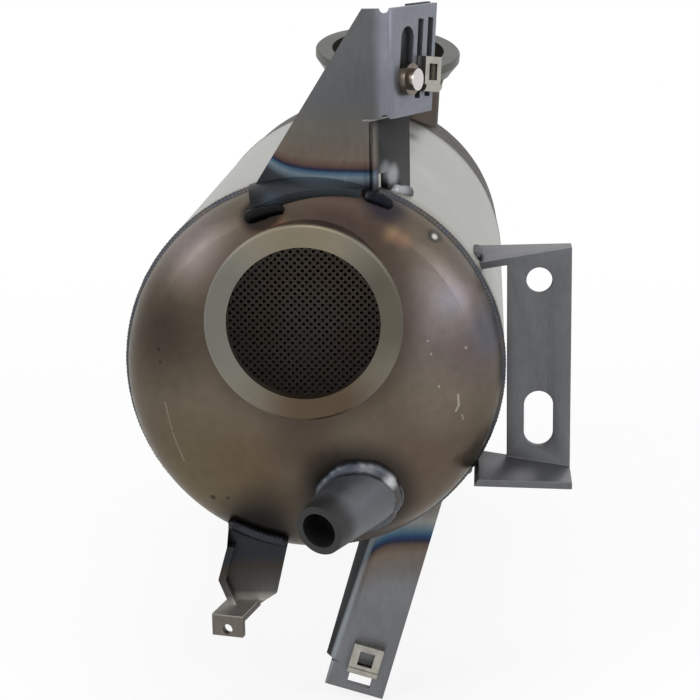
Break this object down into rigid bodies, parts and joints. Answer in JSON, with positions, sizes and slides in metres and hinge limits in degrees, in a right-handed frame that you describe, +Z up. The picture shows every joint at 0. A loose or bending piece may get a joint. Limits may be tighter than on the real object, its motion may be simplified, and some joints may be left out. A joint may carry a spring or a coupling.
{
  "type": "diesel particulate filter",
  "caption": "Canned ceramic wall-flow exhaust filter with an eccentric domed inlet, clamp-ring ends, a sensor boss and welded sheet brackets.",
  "frame": {"origin": "centre of the inlet ring's sealing face", "axes": "+Z up as in the picture, the can lies along Y, and the inlet faces -Y"},
  "size_m": [0.1815, 0.3646, 0.2956],
  "materials": {
    "bare_stainless": "satin rolled sheet",
    "heat_tinted_stainless": "pressed sheet, heat tinted brown",
    "turned_stainless": "fine turned",
    "weld_metal": "as welded",
    "scaled_steel": "dark scale, satin",
    "bracket_steel": "pressed sheet, heat tinted at the welds",
    "plated_steel": "bright plated",
    "wire_seal": "knitted wire",
    "fibre_mat": "fibre felt",
    "silicon_carbide": "porous, sooty"
  },
  "bodies": {
    "root": {"shell": "bare_stainless", "monolith": "silicon_carbide", "mat": "fibre_mat", "front_seal": "wire_seal", "rear_seal": "wire_seal", "inlet_cap": "heat_tinted_stainless", "inlet_ring": "turned_stainless", "inlet_ring_weld": "weld_metal", "outlet_cap": "heat_tinted_stainless", "outlet_ring": "turned_stainless", "outlet_ring_weld": "weld_metal", "front_seam_weld": "weld_metal", "rear_seam_weld": "weld_metal", "sensor_boss": "scaled_steel", "boss_weld": "weld_metal", "top_bracket": "bracket_steel", "top_bracket_welds": "weld_metal", "backing_plate": "bracket_steel", "slot_bolt": "plated_steel", "slot_nut": "plated_steel", "clip_nuts": "plated_steel", "right_bracket": "bracket_steel", "right_bracket_welds": "weld_metal", "lower_left_bracket": "bracket_steel", "lower_left_weld": "weld_metal", "lower_right_bracket": "bracket_steel", "lower_right_weld": "weld_metal"}
  },
  "joints": []
}
